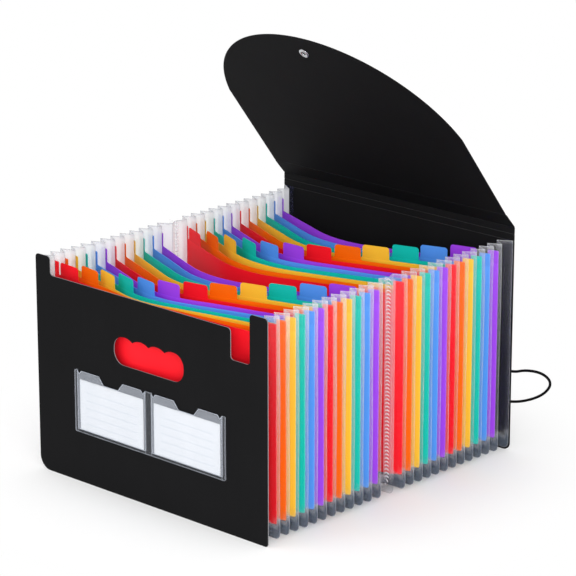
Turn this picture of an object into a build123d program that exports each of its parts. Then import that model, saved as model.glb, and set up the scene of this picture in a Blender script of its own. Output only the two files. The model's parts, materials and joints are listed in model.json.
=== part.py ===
from build123d import *
import math
import os

os.makedirs("parts", exist_ok=True)

# Driving dimensions, in millimetres. X runs across the file, Y from front to back, Z up.
# The origin is on the floor, midway between the two covers.

# Stiff black sheet: covers, spine strips and flap
cover_width = 330.0
cover_t = 1.0
back_height = 233.5
front_rise = 2.5

# Front cover outline
horn_left_width = 21.5
horn_right_width = 24.0
horn_drop = 20.0
slot_width = 26.0
slot_drop = 52.0
outline_round = 4.0
front_corner_left = 15.0
front_corner_right = 4.0
back_corner = 8.0

# Finger grip cut through the front cover
grip_width = 100.0
grip_drop = 93.5
grip_height = 30.5
grip_end_round = 14.0
grip_lobes = 4
grip_lobe_pitch = 23.0
grip_lobe_r = 20.6

# Pleats and divider sheets
sheets_per_bellows = 12
pleat_pitch = 13.7
end_gap = 18.0
seam_gap = 19.0
pleat_depth = 14.0
film_side_gap = 1.5
film_wall = 0.5
film_rise = 0.5
film_bottom = 2.0
film_corner = 6.5
valley_corner = 3.0
flange_width = 12.0
flange_t = 0.3
flange_rise = 0.5
seam_t = 0.6
seam_weld_inset = 9.0

sheet_t = 0.6
sheet_margin = 2.95
weld_gap = 0.15
sheet_lift = 1.5
tab_rise = 14.0
tab_drop = 8.0
ear_width = 11.5
tab_width = 29.5
tab_start = 14.5
tab_spare = 24.4
tab_round = 3.0
sheet_round = 3.0

# The sheets bow towards the front, most a little left of the middle, and rest one behind another
bow_most = 56.0
bow_front_reach = 38.9
bow_back_reach = 10.0
bow_spare_sheets = 2
bow_round = 130.0
bow_left = 24.7
front_rest = 4.5
sheet_rest = 1.2
draw_share = 0.25

# Spine and flap
spine_strip = 7.6
spine_wide_strip = 22.0
strip_lean_deg = 42.0
flap_lean_deg = 38.0
flap_side_gap = 0.5
flap_straight = 119.0
flap_arc_low = 95.0
flap_length = 239.0
rivet_from_root = 214.5
crease_gap = 0.15
crease_taper = 0.6
crease_half = 0.08

# Flap button and its rivet
rivet_hole_r = 3.1
rivet_tube_r = 3.0
rivet_bore_r = 2.2
rivet_flange_r = 6.0
rivet_flange_t = 0.9
button_base_r = 6.0
button_base_t = 1.0
button_neck_r = 3.6
button_neck = 3.0
button_head_r = 7.0
button_head_t = 2.6
button_edge = 0.8

# Label holder and its cards
holder_width = 216.0
holder_bottom = 55.5
holder_height = 67.5
holder_proud = 1.6
holder_film_t = 0.35
holder_side_weld = 4.0
holder_centre_weld = 9.0
holder_bottom_weld = 3.5
holder_round = 1.5
thumb_top = 35.0
thumb_bottom = 21.0
thumb_depth = 8.5
nick_width = 6.0
nick_depth = 3.5
card_play = 6.5
card_drop = 10.0
card_t = 0.5
card_lift = 0.2

# Elastic closing loop with its eyelet and stop
elastic_d = 3.0
elastic_height = 92.0
bend_share = 0.45
eyelet_hole_r = 4.0
eyelet_tube_r = 3.95
eyelet_bore_r = 3.2
eyelet_flange_r = 6.5
eyelet_proud = holder_proud
eyelet_inner_r = 6.0
eyelet_inner_t = 0.6
stop_r = 5.5
stop_t = 1.2

# Places that follow from the driving dimensions
sheet_count = 2 * sheets_per_bellows
bellows_length = end_gap + (sheets_per_bellows - 1) * pleat_pitch + seam_gap
depth = 2 * bellows_length
front_inner = -depth / 2
back_inner = depth / 2
front_outer = front_inner - cover_t
back_outer = back_inner + cover_t
back_mid = back_inner + cover_t / 2
half_pitch = pleat_pitch / 2
half_width = cover_width / 2
front_height = back_height + front_rise
film_top = back_height + film_rise
flange_top = back_height + flange_rise
fold_half = half_width - film_side_gap
flap_half = half_width - flap_side_gap
grip_bottom = front_height - grip_drop
sheet_inset = sheet_margin + film_wall + weld_gap
sheet_end_half = fold_half - sheet_inset
sheet_tuck = sheet_margin * half_pitch / pleat_depth
sheet_bottom = film_bottom + pleat_depth + sheet_lift
tab_top = film_top - tab_drop
sheet_edge = tab_top - tab_rise
tab_row = 2 * sheet_end_half - tab_start - tab_width - tab_spare
tab_pitch = tab_row / (sheets_per_bellows - 1)


def save(name, shape):
    """Writes one sub-part."""
    export_step(shape, f"parts/{name}.step")


def upright(y):
    """A plane facing the front at depth y, whose own axes are X across and Z up."""
    return Plane(origin=(0, y, 0), x_dir=(1, 0, 0), z_dir=(0, -1, 0))


def leaning(y, z, lean):
    """A plane hinged on the line (y, z): its own Y runs up the sheet, which leans forward by lean degrees."""
    a = math.radians(lean)
    return Plane(origin=(0, y, z), x_dir=(1, 0, 0), z_dir=(0, -math.cos(a), -math.sin(a)))


def fold_y(n):
    """Depth of the outer fold that carries sheet n."""
    if n <= sheets_per_bellows:
        return front_inner + end_gap + (n - 1) * pleat_pitch
    return back_inner - end_gap - (sheet_count - n) * pleat_pitch


def bow(n):
    """How far the middle of sheet n stands forward of its ends, before the bend is rounded."""
    to_front = n * pleat_pitch
    to_back = (sheet_count + bow_spare_sheets - n) * pleat_pitch
    front_share = 1 - math.exp(-to_front / bow_front_reach)
    back_share = 1 - math.exp(-to_back / bow_back_reach)
    room = fold_y(n) - sheet_tuck - front_inner - front_rest - sheet_rest * (n - 1)
    return min(bow_most * front_share * back_share, room)


def pull(n):
    """How far a bowed sheet draws the left side of the bellows inwards: its slack takes up the rest."""
    return draw_share * 2 * (sheet_end_half - math.sqrt(sheet_end_half**2 - bow(n) ** 2))


def trough(left, right, bottom, top, radius):
    """A face with a flat open top and two rounded bottom corners."""
    side = FilletPolyline((left, top), (left, bottom), (right, bottom), (right, top), radius=radius)
    return make_face([*side.edges(), Line((right, top), (left, top))])


def fold_section(y, left_pull, inset):
    """The film's U-shaped wall where it crosses depth y, drawn in from the outer fold by inset."""
    left = -fold_half + left_pull + inset
    right = fold_half - inset
    low = film_bottom + inset
    w = film_wall
    corner = film_corner + (valley_corner - film_corner) * inset / pleat_depth
    outer = FilletPolyline((left, film_top), (left, low), (right, low), (right, film_top), radius=corner)
    inner = FilletPolyline(
        (right - w, film_top),
        (right - w, low + w),
        (left + w, low + w),
        (left + w, film_top),
        radius=corner - w,
    )
    right_lip = Line((right, film_top), (right - w, film_top))
    left_lip = Line((left + w, film_top), (left, film_top))
    return upright(y) * make_face([*outer.edges(), right_lip, *inner.edges(), left_lip])


def u_plate(y_from, thickness, left_pull, width, top):
    """A flat U-shaped strip of film along the outer fold, from depth y_from towards the back."""
    left = -fold_half + left_pull
    outer = trough(left, fold_half, film_bottom, top, film_corner)
    inner = trough(left + width, fold_half - width, film_bottom + width, top, film_corner)
    return extrude(upright(y_from) * (outer - inner), amount=-thickness)


def pleats(numbers):
    """Valley and outer fold in front of each sheet in turn."""
    sections = []
    for n in numbers:
        sections.append(fold_section(fold_y(n) - half_pitch, pull(n), pleat_depth))
        sections.append(fold_section(fold_y(n), pull(n), 0))
    return sections


seam_pull = (pull(sheets_per_bellows) + pull(sheets_per_bellows + 1)) / 2
seam_reach = seam_t / 2 + 2 * weld_gap


def front_bellows():
    """Pleated film from the front cover's flange to the centre seam."""
    last = sheets_per_bellows
    start = fold_section(front_inner + flange_t, 0, 0)
    valley = fold_section(-seam_gap / 2, seam_pull, pleat_depth)
    end = fold_section(-seam_reach, seam_pull, seam_weld_inset)
    return loft([start, *pleats(range(1, last + 1)), valley, end], ruled=True)


def rear_bellows():
    """Pleated film from the centre seam to the back cover's flange."""
    first = sheets_per_bellows + 1
    start = fold_section(seam_reach, seam_pull, seam_weld_inset)
    valley = fold_section(back_inner - end_gap / 2, 0, pleat_depth)
    end = fold_section(back_inner - flange_t, 0, 0)
    return loft([start, *pleats(range(first, sheet_count + 1)), valley, end], ruled=True)


def divider(n):
    """A bowed sheet with a strip standing at each end and one tab along its top edge."""
    y_end = fold_y(n) - sheet_tuck
    right = sheet_end_half
    left = -sheet_end_half + pull(n)
    middle = (left + right) / 2
    share = (right - left) / (2 * sheet_end_half)
    face_line = FilletPolyline(
        (left, y_end),
        (-bow_left, y_end - bow(n)),
        (right, y_end),
        radius=bow_round,
    )
    back_line = face_line.moved(Location((0, sheet_t, 0)))
    ends = [Line((x, y_end), (x, y_end + sheet_t)) for x in (left, right)]
    ribbon = make_face([*face_line.edges(), *back_line.edges(), *ends])
    blank = extrude(Plane.XY.offset(sheet_bottom) * ribbon, amount=tab_top - sheet_bottom)

    step = (n - 1) % sheets_per_bellows
    tab_left = left + (tab_start + step * tab_pitch) * share
    tab_middle = tab_left + tab_width * share / 2
    body = Pos(middle, (sheet_bottom + sheet_edge) / 2) * RectangleRounded(
        right - left, sheet_edge - sheet_bottom, sheet_round
    )
    tab = Pos(tab_middle, sheet_edge) * RectangleRounded(tab_width * share, 2 * tab_rise, tab_round)
    stand = tab_top - sheet_bottom - 2 * sheet_round
    ear_middle = tab_top - stand / 2
    ears = Sketch() + [
        Pos(x, ear_middle) * Rectangle(ear_width, stand)
        for x in (left + ear_width / 2, right - ear_width / 2)
    ]
    outline = body + tab + ears
    reach = bow_most + pleat_pitch
    return blank & extrude(upright(y_end + pleat_pitch) * outline, amount=reach + pleat_pitch)


def grip_hole():
    """Finger grip: straight below, with one shallow lobe for each finger above."""
    middle_z = grip_bottom + grip_height / 2
    bounds = Pos(0, middle_z) * RectangleRounded(grip_width, grip_height, grip_end_round)
    lobe_z = grip_bottom + grip_height - grip_lobe_r
    first = -(grip_lobes - 1) * grip_lobe_pitch / 2
    lobes = Sketch() + [
        Pos(first + i * grip_lobe_pitch, lobe_z) * Circle(grip_lobe_r) for i in range(grip_lobes)
    ]
    below = Pos(0, (grip_bottom + lobe_z) / 2) * Rectangle(grip_width, lobe_z - grip_bottom)
    return bounds & (lobes + below)


def front_cover():
    """Stiff sheet with a raised corner at each side, a notch at the right and the finger grip."""
    edge = front_height - horn_drop
    notch_right = half_width - horn_right_width
    notch_left = notch_right - slot_width
    notch_floor = front_height - slot_drop
    horn_inner = -half_width + horn_left_width
    line = Polyline(
        (-half_width, 0),
        (half_width, 0),
        (half_width, front_height),
        (notch_right, front_height),
        (notch_right, notch_floor),
        (notch_left, notch_floor),
        (notch_left, edge),
        (horn_inner, edge),
        (horn_inner, front_height),
        (-half_width, front_height),
        close=True,
    )
    sheet = make_face(line)
    low_left = sheet.vertices().sort_by(Axis.Y)[:2].sort_by(Axis.X)[0]
    sheet = fillet([low_left], front_corner_left)
    low_right = sheet.vertices().sort_by(Axis.X)[-2:].sort_by(Axis.Y)[0]
    sheet = fillet([low_right], front_corner_right)
    sharp = [v for v in sheet.vertices() if v.Y > notch_floor - outline_round]
    sheet = fillet(sharp, outline_round)
    return extrude(upright(front_inner) * (sheet - grip_hole()), amount=cover_t)


def nose(plane, half, base, tip):
    """The thinned edge of a sheet beside a crease, from full thickness at base to the crease at tip."""
    along = 1 if tip > base else -1
    end = tip - along * crease_gap
    profile = make_face(
        Polyline(
            (base, -cover_t / 2),
            (end, -crease_half),
            (end, crease_half),
            (base, cover_t / 2),
            close=True,
        )
    )
    side = Plane(origin=(-half, 0, 0), x_dir=(0, 1, 0), z_dir=(1, 0, 0))
    return plane * extrude(side * profile, amount=2 * half)


def panel(plane, outline):
    """A sheet of the covers' thickness, centred on its plane."""
    return plane * extrude(outline, amount=cover_t / 2, both=True)


crease_root = crease_gap + crease_taper


def spine(plane, width):
    """A strip of the sheet between two creases."""
    outline = Pos(0, width / 2) * Rectangle(cover_width, width - 2 * crease_root)
    low = nose(plane, half_width, crease_root, 0)
    high = nose(plane, half_width, width - crease_root, width)
    return panel(plane, outline) + low + high


def back_cover():
    """Plain stiff sheet up to the first crease, with a hole for the elastic's eyelet."""
    plane = leaning(back_mid, 0, 0)
    top = back_height - crease_root
    outline = trough(-half_width, half_width, 0, top, back_corner)
    outline -= Pos(0, elastic_height) * Circle(eyelet_hole_r)
    return panel(plane, outline) + nose(plane, half_width, top, back_height)


def flap(plane):
    """Straight sides up to two shoulders, then one arc over the tip, with a hole for the rivet."""
    base = Pos(0, (flap_straight + crease_root) / 2) * Rectangle(2 * flap_half, flap_straight - crease_root)
    arc_rise = flap_length - flap_arc_low
    arc_half = flap_half / math.sqrt(1 - ((flap_straight - flap_arc_low) / arc_rise) ** 2)
    tip = Pos(0, flap_arc_low) * Ellipse(arc_half, arc_rise)
    upper = Pos(0, (flap_straight + flap_length) / 2) * Rectangle(2 * flap_half, flap_length - flap_straight)
    outline = base + (tip & upper)
    outline -= Pos(0, rivet_from_root) * Circle(rivet_hole_r)
    return panel(plane, outline) + nose(plane, flap_half, crease_root, 0)


def flap_rivet(plane):
    """Tubular rivet whose ring shows on the flap's inner face."""
    at = plane * Pos(0, rivet_from_root, 0)
    half = cover_t / 2
    ring = Pos(0, 0, half) * extrude(Circle(rivet_flange_r) - Circle(rivet_bore_r), amount=rivet_flange_t)
    ring = fillet(ring.edges().filter_by(GeomType.CIRCLE).group_by(Axis.Z)[-1], rivet_flange_t / 3)
    tube = Pos(0, 0, -half) * extrude(Circle(rivet_tube_r) - Circle(rivet_bore_r), amount=cover_t)
    return at * (ring + tube)


def flap_button(plane):
    """Button on the flap's outer face: base, neck and a head that holds the elastic."""
    at = plane * Pos(0, rivet_from_root, -cover_t / 2)
    base = extrude(Circle(button_base_r), amount=-button_base_t)
    neck = Pos(0, 0, -button_base_t) * extrude(Circle(button_neck_r), amount=-button_neck)
    head = Pos(0, 0, -button_base_t - button_neck) * extrude(Circle(button_head_r), amount=-button_head_t)
    head = fillet(head.edges().filter_by(GeomType.CIRCLE), button_edge)
    return at * (base + neck + head)


def thumb_notch(middle, top):
    """Trapezoid cut for a thumb in the top of a pocket."""
    return make_face(
        Polyline(
            (middle - thumb_top / 2, top),
            (middle - thumb_bottom / 2, top - thumb_depth),
            (middle + thumb_bottom / 2, top - thumb_depth),
            (middle + thumb_top / 2, top),
            close=True,
        )
    )


def nick(middle, top):
    """Small V-cut that frees the pocket's mouth beside a weld."""
    half = nick_width / 2
    return make_face(
        Polyline((middle - half, top), (middle, top - nick_depth), (middle + half, top), close=True)
    )


pocket_inner = holder_centre_weld / 2
pocket_outer = holder_width / 2 - holder_side_weld
pocket_middle = (pocket_inner + pocket_outer) / 2
pocket_width = pocket_outer - pocket_inner
pocket_floor = holder_bottom + holder_bottom_weld
holder_top = holder_bottom + holder_height
card_width = pocket_width - card_play
card_height = holder_top - pocket_floor - card_drop


def label_holder():
    """Clear film welded to the front cover at its sides, bottom and middle: two pockets open above."""
    middle_z = holder_bottom + holder_height / 2
    blank = Pos(0, middle_z) * RectangleRounded(holder_width, holder_height, holder_round)
    cuts = Sketch()
    cavity = Sketch()
    for side in (-1, 1):
        cuts += thumb_notch(side * pocket_middle, holder_top)
        cuts += nick(side * (pocket_inner + nick_width / 2), holder_top)
        cuts += nick(side * (pocket_outer - nick_width / 2), holder_top)
        cavity += Pos(side * pocket_middle, (pocket_floor + holder_top) / 2) * Rectangle(
            pocket_width, holder_top - pocket_floor
        )
    welds = extrude(upright(front_outer) * (blank - cavity), amount=holder_proud)
    film_back = front_outer - holder_proud + holder_film_t
    film = extrude(upright(film_back) * (blank - cuts), amount=holder_film_t)
    return welds + film


def label_card(side):
    """Card that stands in one pocket of the label holder."""
    room = holder_proud - holder_film_t - card_t
    outline = Pos(side * pocket_middle, pocket_floor + card_lift + card_height / 2)
    return extrude(
        upright(front_outer - room / 2) * (outline * Rectangle(card_width, card_height)), amount=card_t
    )


def ring_at(y_from, y_to, outer_r, inner_r):
    """A round tube or washer through the back cover, between two depths."""
    face = Pos(0, elastic_height) * (Circle(outer_r) - Circle(inner_r))
    return extrude(upright(y_to) * face, amount=y_to - y_from)


def elastic_eyelet():
    """Flanged eyelet that lines the elastic's hole."""
    outside = ring_at(back_outer, back_outer + eyelet_proud, eyelet_flange_r, eyelet_bore_r)
    tube = ring_at(back_inner, back_outer, eyelet_tube_r, eyelet_bore_r)
    inside = ring_at(back_inner - eyelet_inner_t, back_inner, eyelet_inner_r, eyelet_bore_r)
    return outside + tube + inside


stop_face = back_inner - eyelet_inner_t


def elastic_stop():
    """Disc inside the cover that keeps the elastic's two ends from pulling through."""
    face = Pos(0, elastic_height) * Circle(stop_r)
    return extrude(upright(stop_face) * face, amount=stop_t)


def elastic_route():
    """Points of the loop, from one end round to the other: out of the eyelet, past the right edge and back.

    A row holds the share of half the cover's width, and diameters out from the cover and up from the eyelet.
    """
    rows = [
        (0, 1.84, 0.52),
        (0.048, 2.0, 0.667),
        (0.133, 1.76, 1.2),
        (0.291, 1.36, 1.133),
        (0.558, 1.04, -0.4),
        (0.824, 1.0, -1.7),
        (1.0, 1.12, -1.579),
        (1.093, 1.2, 0.423),
        (1.21, 1.3, 1.103),
        (1.281, 1.36, -0.16),
        (1.302, 1.4, -2.289),
        (1.275, 1.38, -4.953),
        (1.223, 1.34, -7.527),
        (1.139, 1.26, -10.127),
        (1.016, 1.14, -12.664),
        (0.818, 1.0, -14.0),
        (0.57, 1.04, -12.667),
        (0.333, 1.28, -8.5),
        (0.176, 1.68, -4.0),
        (0.073, 2.0, -1.133),
        (0, 1.84, -0.52),
    ]
    d = elastic_d
    route = [(across * half_width, back_outer + out * d, elastic_height + up * d) for across, out, up in rows]
    first = (0, stop_face, route[0][2])
    last = (0, stop_face, route[-1][2])
    return [first, *route, last]


def elastic_loop():
    """Round elastic swept along its route, with each bend as wide as its runs allow."""
    points = [Vector(p) for p in elastic_route()]
    radii = []
    for a, b, c in zip(points, points[1:], points[2:]):
        turn = math.radians((b - a).get_angle(c - b))
        radii.append(bend_share * min((b - a).length, (c - b).length) / math.tan(turn / 2))
    path = FilletPolyline(*points, radius=radii)
    section = Plane(origin=points[0], z_dir=points[1] - points[0]) * Circle(elastic_d / 2)
    cord = sweep(section, path=path)
    ideal = math.pi * elastic_d**2 / 4 * path.length
    print("elastic radii", [round(r, 1) for r in radii])
    print(f"elastic length {path.length:.1f}, volume {cord.volume:.1f} against {ideal:.1f}")
    return cord


first_crease = back_height
second_crease = first_crease + spine_strip
third_crease = second_crease + spine_strip
wide_plane = leaning(back_mid, third_crease, strip_lean_deg)
lean = math.radians(strip_lean_deg)
fourth_y = back_mid - spine_wide_strip * math.sin(lean)
fourth_z = third_crease + spine_wide_strip * math.cos(lean)
flap_plane = leaning(fourth_y, fourth_z, flap_lean_deg)

save("back_cover", back_cover())
save("spine_lower", spine(leaning(back_mid, first_crease, 0), spine_strip))
save("spine_middle", spine(leaning(back_mid, second_crease, 0), spine_strip))
save("spine_upper", spine(wide_plane, spine_wide_strip))
save("flap", flap(flap_plane))
save("flap_rivet", flap_rivet(flap_plane))
save("flap_button", flap_button(flap_plane))
save("front_cover", front_cover())
save("label_holder", label_holder())
save("label_card_left", label_card(-1))
save("label_card_right", label_card(1))
save("front_flange", u_plate(front_inner, flange_t, 0, flange_width, flange_top))
save("rear_flange", u_plate(back_inner - flange_t, flange_t, 0, flange_width, flange_top))
save("front_bellows", front_bellows())
save("rear_bellows", rear_bellows())
save("centre_seam", u_plate(-seam_t / 2, seam_t, seam_pull, pleat_depth, film_top))
for number in range(1, sheet_count + 1):
    save(f"divider_{number:02d}", divider(number))
save("elastic_eyelet", elastic_eyelet())
save("elastic_stop", elastic_stop())
save("elastic_loop", elastic_loop())
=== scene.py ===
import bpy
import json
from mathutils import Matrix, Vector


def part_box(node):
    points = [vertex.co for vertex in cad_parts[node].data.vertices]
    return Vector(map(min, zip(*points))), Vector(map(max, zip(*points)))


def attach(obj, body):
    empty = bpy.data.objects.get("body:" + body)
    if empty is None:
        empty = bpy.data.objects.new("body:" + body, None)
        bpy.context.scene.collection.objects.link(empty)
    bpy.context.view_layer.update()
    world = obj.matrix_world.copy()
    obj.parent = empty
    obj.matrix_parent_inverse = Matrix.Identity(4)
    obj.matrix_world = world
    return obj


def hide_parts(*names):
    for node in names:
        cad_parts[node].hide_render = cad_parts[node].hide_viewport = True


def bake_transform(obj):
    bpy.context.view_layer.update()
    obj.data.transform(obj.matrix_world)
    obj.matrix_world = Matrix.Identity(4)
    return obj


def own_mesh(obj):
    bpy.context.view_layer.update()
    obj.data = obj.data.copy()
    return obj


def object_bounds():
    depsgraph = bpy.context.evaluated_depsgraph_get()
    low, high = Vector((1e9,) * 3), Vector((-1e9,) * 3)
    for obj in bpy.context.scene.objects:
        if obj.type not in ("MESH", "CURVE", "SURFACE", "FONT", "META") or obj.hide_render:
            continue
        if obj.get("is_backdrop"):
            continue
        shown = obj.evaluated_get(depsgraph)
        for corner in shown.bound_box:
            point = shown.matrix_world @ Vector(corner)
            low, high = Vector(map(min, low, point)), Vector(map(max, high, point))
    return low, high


bl_info = {
    "name": "Expanding file",
    "version": (1, 0, 0),
    "blender": (4, 5, 0),
    "location": "View3D > Sidebar > Expanding file",
    "description": "Dresses an upright expanding file: covers, clear bellows, coloured dividers and elastic",
    "category": "Object",
}

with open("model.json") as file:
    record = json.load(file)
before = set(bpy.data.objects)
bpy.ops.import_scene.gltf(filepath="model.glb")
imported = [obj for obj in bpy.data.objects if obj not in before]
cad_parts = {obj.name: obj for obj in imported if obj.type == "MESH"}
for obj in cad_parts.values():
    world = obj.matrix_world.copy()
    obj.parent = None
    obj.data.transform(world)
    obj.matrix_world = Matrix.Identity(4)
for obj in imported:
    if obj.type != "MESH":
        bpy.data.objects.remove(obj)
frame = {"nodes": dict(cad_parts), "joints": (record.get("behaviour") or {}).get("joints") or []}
cad_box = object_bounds()

import json
import math

import bpy
import numpy as np
from bpy.props import FloatProperty, FloatVectorProperty, IntProperty, PointerProperty
from mathutils import Vector

MM = 0.001


def node_box(node):
    """Lowest and highest corner of a CAD node, in millimetres."""
    low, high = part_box(node)
    return np.array(low) / MM, np.array(high) / MM


def linear(red, green, blue):
    """A screen colour of 0 to 255 as the linear values that shaders take."""
    share = np.array((red, green, blue)) / 255
    return tuple(np.where(share <= 0.04045, share / 12.92, ((share + 0.055) / 1.055) ** 2.4))


_, COVER_HIGH = node_box("front_cover")
BACK_LOW, BACK_HIGH = node_box("back_cover")
_, SEAM_HIGH = node_box("centre_seam")
FILM_LOW, FILM_HIGH = node_box("front_bellows")
HALF_WIDTH = COVER_HIGH[0]
FRONT_INNER = COVER_HIGH[1]
BACK_INNER = BACK_LOW[1]
BACK_OUTER = BACK_HIGH[1]
COLOURS = ("red", "orange", "yellow", "teal", "blue", "purple")
EDGE_ANGLE = math.radians(40.0)
WHITE = (1, 1, 1, 1)
FADE_START, FADE_END = 0.17, 0.38
KEY_PLACE, KEY_SIZE = (-1.9, -2.6, 2.9), 2.6
FILL_PLACE, FILL_SIZE = (2.45, -2.2, 1.2), 1.8
LAMP_TARGET = (0.0, 0.0, 0.15)
FLANGE_SEAT, SEAM_CLEAR = 0.3, 0.3
DOT_ROWS = ((2.6, 0.3), (8.6, 0.16))
WANDER, WANDER_LENGTH, WANDER_TURN = 0.35, 31.0, 1.7


def length(name, text, default):
    """A size in millimetres that the panel shows."""
    return FloatProperty(name=name, description=text + ", in mm", default=float(default), min=0.0)


def share(name, text, default):
    """A share that the panel shows as a slider."""
    return FloatProperty(name=name, description=text, default=default, subtype="FACTOR", min=0.0, max=1.0)


def angle(name, text, default):
    """An angle in radians, which the panel shows in degrees."""
    return FloatProperty(name=name, description=text, default=default, subtype="ANGLE")


def colour(name, text, red, green, blue):
    """A colour that the panel shows as a swatch."""
    return FloatVectorProperty(
        name=name, description=text, default=linear(red, green, blue), subtype="COLOR", min=0.0, max=1.0
    )


class FilmSizes(bpy.types.PropertyGroup):
    pleats: IntProperty(name="Pleats", description="Outer folds in each bellows", default=12, min=1)
    pitch: length("Pitch", "Distance between two folds", 13.7)
    end_gap: length("End gap", "Cover to the nearest fold", 18.0)
    pleat_depth: length("Pleat depth", "Outer fold to valley", 14.0)
    corner: length("Fold corner", "Radius of a fold's lower corners", 6.5)
    valley_corner: length("Valley corner", "Radius of a valley's lower corners", 3.0)
    flange: length("Flange", "Width of the strips welded to the covers", 12.0)
    wall: length("Wall", "Thickness of the film across the file", 0.28)
    strip: length("Strip", "Thickness of the flanges and the seam", 0.24)
    weld_inset: length("Seam weld", "Outer edge of the seam to its weld", 9.0)
    dot_pitch: length("Weld dots", "Distance between the flange's weld dots", 6.0)
    mark_pitch: length("Weld marks", "Distance between the seam's weld marks", 4.0)


class FilmHaze(bpy.types.PropertyGroup):
    left: share("Left side", "Haze of the left side", 0.45)
    free: share("Free film", "Haze of the right side's free film, low down", 0.07)
    # Painted reflection: free film whitens towards the top, standing for light from above reflected off it.
    lift: share("Free film, top", "Haze that free film gains towards the top", 0.07)
    rear: share("Rear run", "Share of that haze in the rear bellows", 0.6)
    cover: share("Beside covers", "Share of the haze beside the covers", 0.4)
    sheet: share("On dividers", "Haze of film that lies on a divider", 0.006)
    # Painted reflection: film on the dividers whitens towards the top, standing for light from above
    # reflected off it.
    sheet_lift: share("On dividers, top", "Haze that such film gains towards the top", 0.02)
    crest: share("Folds", "Haze that a fold adds", 0.25)
    rim: share("Rim", "Haze that the upper edge adds", 0.3)
    # This haze lets the film's painted shade below the dividers show.
    under: share("Below dividers", "Haze added below the dividers", 0.4)


class SheetSizes(bpy.types.PropertyGroup):
    thickness: length("Thickness", "Thickness of a divider", 0.6)
    margin: length("Film margin", "Divider's end to the outer fold", 3.6)
    tuck: length("Tuck", "Divider's end in front of the outer fold", 1.4434)
    edge_drop: length("Tab rise", "Tab's top above the divider's edge", 14.0)
    ear: length("End strip", "Width of the strip that stands at each end", 11.5)
    tab: length("Tab width", "Width of a tab", 29.5)
    tab_start: length("Tab start", "Divider's end to the first tab", 14.5)
    tab_spare: length("Tab end", "Last tab to the divider's other end", 24.4)
    tab_round: length("Tab corner", "Radius of a tab's corners", 3.0)
    bow: length("Bow", "How far the middle sheets stand forward", 56.0)
    bow_front: length("Front reach", "Distance over which the bow grows behind the front", 38.9)
    bow_back: length("Back reach", "Distance over which the bow dies away at the back", 10.0)
    bow_spare: IntProperty(
        name="Back spare", description="Sheets behind the last one before it is flat", default=2
    )
    bow_round: length("Bow radius", "Radius of the bend in the middle of a sheet", 130.0)
    bow_left: length("Bow offset", "Bend of a sheet to the left of the middle", 24.7)
    front_rest: length("Front rest", "Front cover to the first sheet's bend", 4.5)
    rest: length("Rest", "Least distance from one sheet's bend to the next", 1.2)
    draw: share("Draw", "Share of a bow that the film gives way to", 0.25)
    ripple: length("Ripple", "Height of the slack ripple along a sheet's edge", 0.9)


class FittingSizes(bpy.types.PropertyGroup):
    flap_lean: angle("Flap lean", "Lean of the open flap", math.radians(38.0))
    spine_lean: angle("Spine lean", "Lean of the upper spine strip", math.radians(42.0))
    rivet_up: length("Rivet height", "Flap's crease to the rivet", 214.5)
    sheet: length("Sheet", "Thickness of the black sheet", 1.0)
    elastic: length("Elastic", "Diameter of the elastic", 3.0)
    elastic_up: length("Elastic height", "Floor to the elastic's eyelet", 92.0)


class FileColours(bpy.types.PropertyGroup):
    red: colour("Red", "Red dividers", 255, 25, 40)
    orange: colour("Orange", "Orange dividers", 255, 114, 6)
    yellow: colour("Yellow", "Yellow dividers", 255, 206, 58)
    teal: colour("Teal", "Teal dividers", 16, 204, 192)
    blue: colour("Blue", "Blue dividers", 90, 160, 250)
    purple: colour("Purple", "Purple dividers", 174, 74, 240)
    sheet: colour("Black sheet", "Covers, spine and flap", 18, 18, 19)
    film: colour("Film", "Clear film", 244, 246, 248)
    pocket: colour("Pocket film", "Film of the label pockets", 214, 220, 231)
    flange: colour("Cover strips", "Film welded to the covers", 92, 96, 168)
    weld: colour("Welded film", "Film that a weld has whitened", 248, 248, 250)
    # Painted shade: film below the dividers, and along the left side's folds and upper edge, turns this dark
    # grey-blue.
    smoke: colour("Shaded film", "Film below the dividers and along its folds", 108, 119, 135)
    # Painted highlight on the front cover's edges that face up or to the right.
    edge_highlight: colour("Cut edge", "Cut edges of the front cover", 132, 132, 135)
    card: colour("Card", "Label cards", 250, 249, 246)
    rule: colour("Ruled lines", "Faint lines on the cards", 224, 226, 230)
    metal: colour("Metal", "Rivet and eyelet", 205, 207, 211)
    button: colour("Button", "Moulded button and stop", 18, 18, 19)
    elastic: colour("Elastic", "Braided elastic", 10, 10, 11)
    floor: colour("Floor", "Studio floor", 252, 252, 252)


class StudioSettings(bpy.types.PropertyGroup):
    camera: FloatVectorProperty(
        name="Camera",
        description="Camera's place",
        default=(2.02143, -2.14947, 1.10591),
        subtype="TRANSLATION",
    )
    azimuth: angle("Azimuth", "Camera's turn", 0.7508)
    elevation: angle("Elevation", "Camera's tilt", 0.301)
    lens: FloatProperty(
        name="Lens", description="Focal length on a 36 mm sensor", default=184.66, unit="CAMERA"
    )
    sky: FloatProperty(name="Sky", description="Strength of the even light", default=0.88)
    key: FloatProperty(name="Key", description="Power of the key lamp", default=26.0, unit="POWER")
    fill: FloatProperty(name="Fill", description="Power of the fill lamp", default=68.0, unit="POWER")


def sum_of(operation, swapped=False):
    """An operator of Wire, which adds one Math node."""

    def made(wire, other=0.0):
        first, second = (other, wire) if swapped else (wire, other)
        return wire.finish.node("ShaderNodeMath", {"operation": operation}, {0: first, 1: second})

    return made


class Wire:
    """A shader value: operators on it add Math nodes to its finish."""

    def __init__(self, finish, socket):
        self.finish = finish
        self.socket = socket

    __add__ = __radd__ = sum_of("ADD")
    __sub__ = sum_of("SUBTRACT")
    __rsub__ = sum_of("SUBTRACT", swapped=True)
    __mul__ = __rmul__ = sum_of("MULTIPLY")
    __truediv__ = sum_of("DIVIDE")
    __mod__ = sum_of("FLOORED_MODULO")
    __lt__ = sum_of("LESS_THAN")
    __gt__ = sum_of("GREATER_THAN")
    __abs__ = sum_of("ABSOLUTE")


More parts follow.
